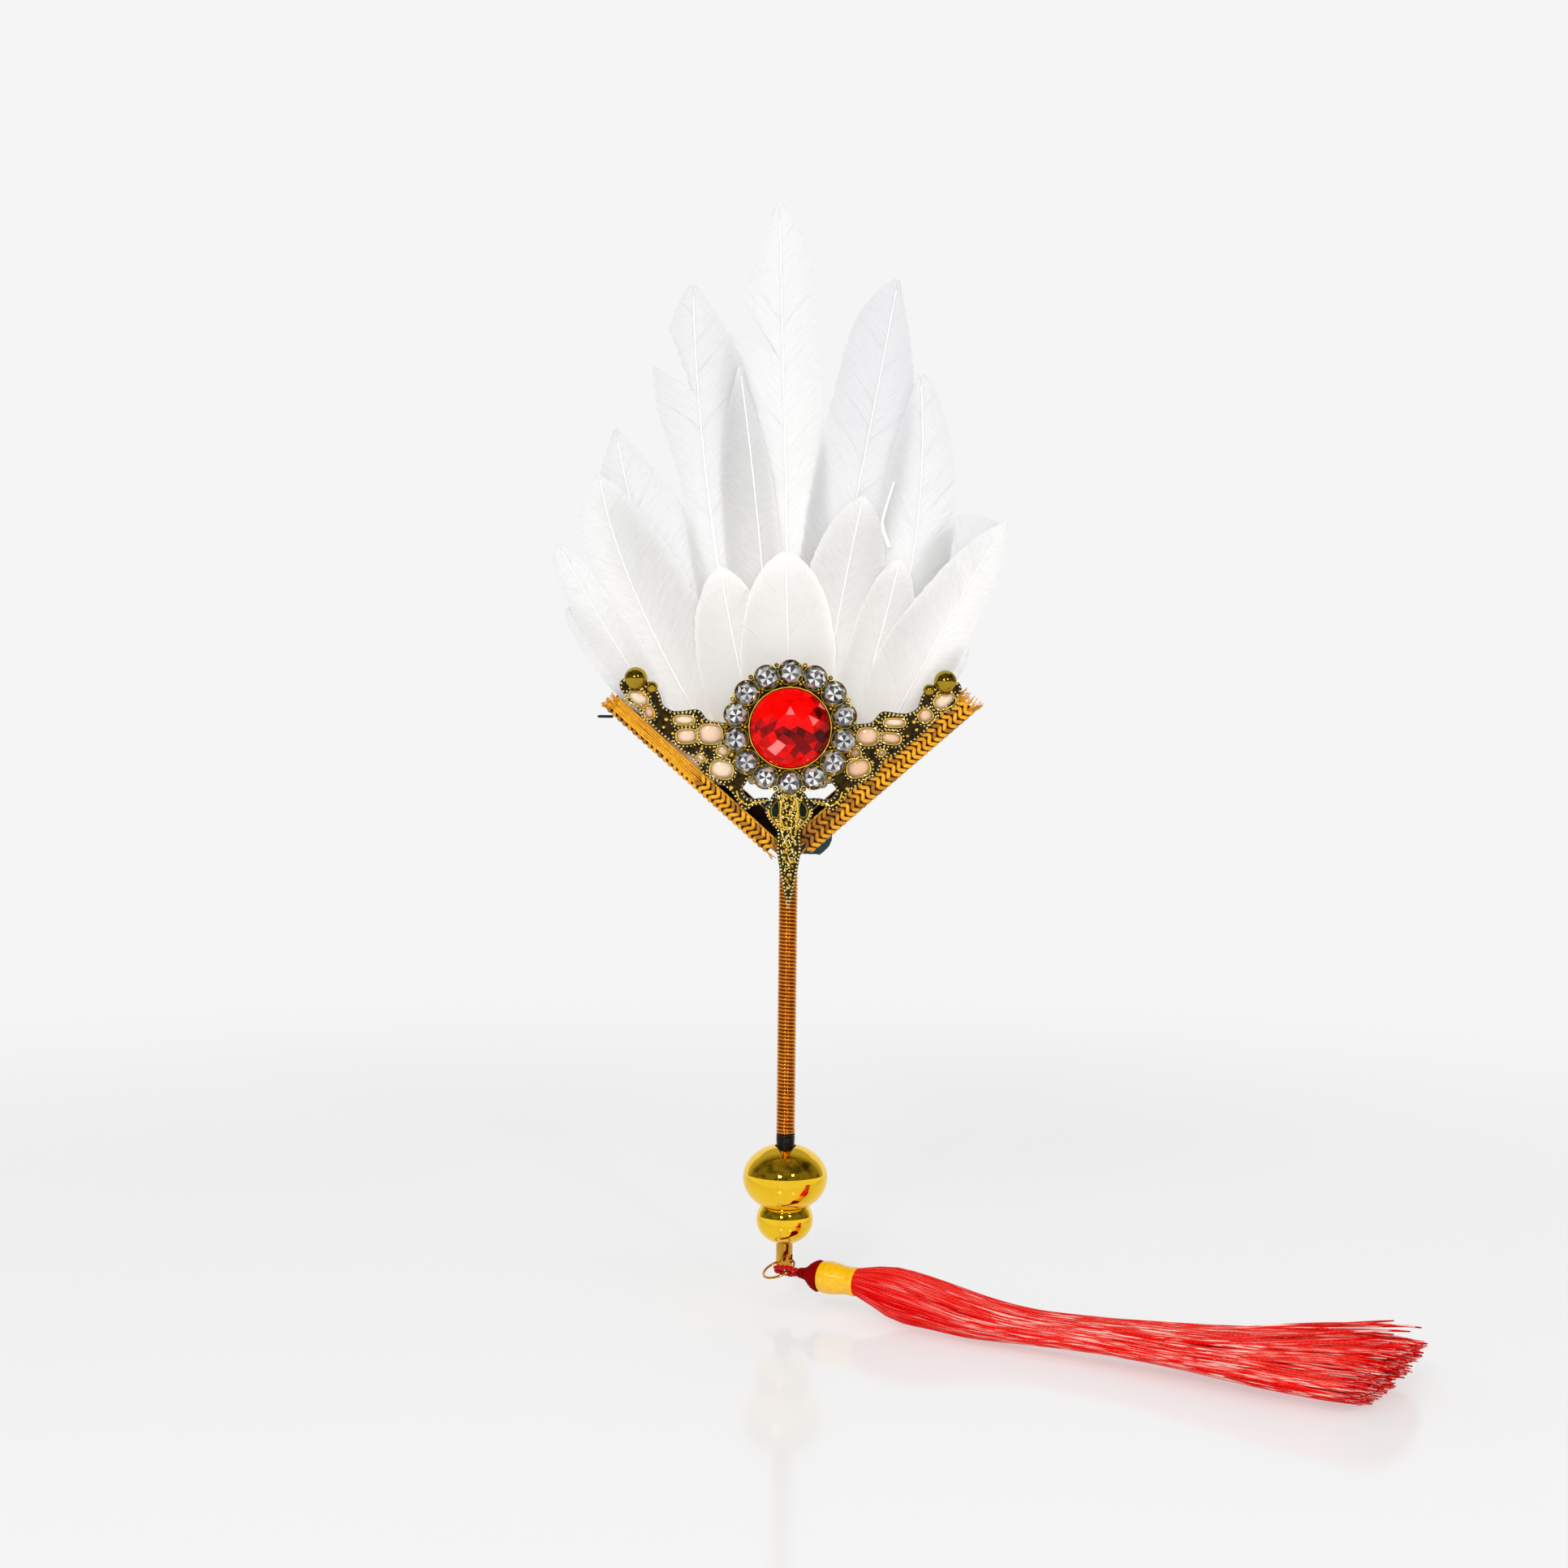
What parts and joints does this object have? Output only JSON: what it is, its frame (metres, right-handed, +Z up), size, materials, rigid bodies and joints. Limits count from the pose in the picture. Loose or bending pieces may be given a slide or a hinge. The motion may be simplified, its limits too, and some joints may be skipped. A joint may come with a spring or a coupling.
{
  "type": "feather fan",
  "caption": "Small hand fan of layered feathers in a gilt V holder, with a wire wound handle, a gourd finial and a tassel hung on a jump ring.",
  "frame": {"origin": "middle of the wire wound grip, on the handle's axis", "axes": "+Z up along the handle towards the feathers, +Y towards the back of the fan, +X to the right seen from the front"},
  "size_m": [0.1726, 0.0837, 0.2272],
  "materials": {
    "feather": "goose feather, matt",
    "glue": "peach casting glue, smooth",
    "core_steel": "drawn rod",
    "gilt_wire": "bright copper gold wire",
    "black_thread": "waxed thread",
    "mirror_gilt": "mirror gilt plate",
    "ring_bronze": "bright bronze gold wire",
    "antique_gilt": "cast filigree, polished beads over dark grounds",
    "red_glass": "faceted red glass, foiled back",
    "clear_glass": "faceted clear glass, foiled back",
    "amber_braid": "woven metallic braid",
    "dark_felt": "felt patch",
    "dark_pin": "blackened wire",
    "crimson_cord": "crimson rayon cord",
    "gold_satin": "satin thread wrap",
    "scarlet_silk": "rayon silk yarns"
  },
  "bodies": {
    "root": {"back_patch": "dark_felt", "cluster_plate": "antique_gilt", "feather_bed": "glue", "feather_centre_tall": "feather", "feather_front_centre": "feather", "feather_front_left": "feather", "feather_front_outer": "feather", "feather_front_right": "feather", "feather_left_bottom": "feather", "feather_left_inner": "feather", "feather_left_low": "feather", "feather_left_middle": "feather", "feather_left_tall": "feather", "feather_left_upper": "feather", "feather_right_back": "feather", "feather_right_bottom": "feather", "feather_right_low": "feather", "feather_right_tall": "feather", "feather_right_upper": "feather", "gourd_left_half": "mirror_gilt", "gourd_right_half": "mirror_gilt", "handle_core": "core_steel", "handle_winding": "gilt_wire", "leaf_drop": "antique_gilt", "left_end_bead": "antique_gilt", "left_strap": "amber_braid", "left_wing": "antique_gilt", "pin_end": "dark_pin", "red_stone": "red_glass", "right_end_bead": "antique_gilt", "right_strap": "amber_braid", "right_wing": "antique_gilt", "small_stone_01": "clear_glass", "small_stone_02": "clear_glass", "small_stone_03": "clear_glass", "small_stone_04": "clear_glass", "small_stone_05": "clear_glass", "small_stone_06": "clear_glass", "small_stone_07": "clear_glass", "small_stone_08": "clear_glass", "small_stone_09": "clear_glass", "small_stone_10": "clear_glass", "small_stone_11": "clear_glass", "small_stone_12": "clear_glass", "small_stone_13": "clear_glass", "small_stone_14": "clear_glass", "thread_binding": "black_thread"},
    "ring": {"jump_ring": "ring_bronze"},
    "loop": {"tassel_loop": "crimson_cord"},
    "tassel": {"tassel_knot": "crimson_cord", "tassel_wrap": "gold_satin", "tassel_skirt": "scarlet_silk"}
  },
  "joints": [
    {"name": "ring_swing", "type": "hinge", "parent": "root", "child": "ring", "pos_m": [0, 0, -0.05622], "axis": [0.8782, -0.391, 0.2756], "range_deg": [-10, 95]},
    {"name": "loop_swing", "type": "hinge", "parent": "ring", "child": "loop", "pos_m": [0.00103, -0.00582, -0.05683], "axis": [0.7015, 0.6032, 0.3794], "range_deg": [-45, 70]},
    {"name": "tassel_bend", "type": "hinge", "parent": "loop", "child": "tassel", "pos_m": [0.0035, -0.0071, -0.05682], "axis": [-0.2058, -0.3871, 0.8988], "range_deg": [-60, 30]}
  ]
}
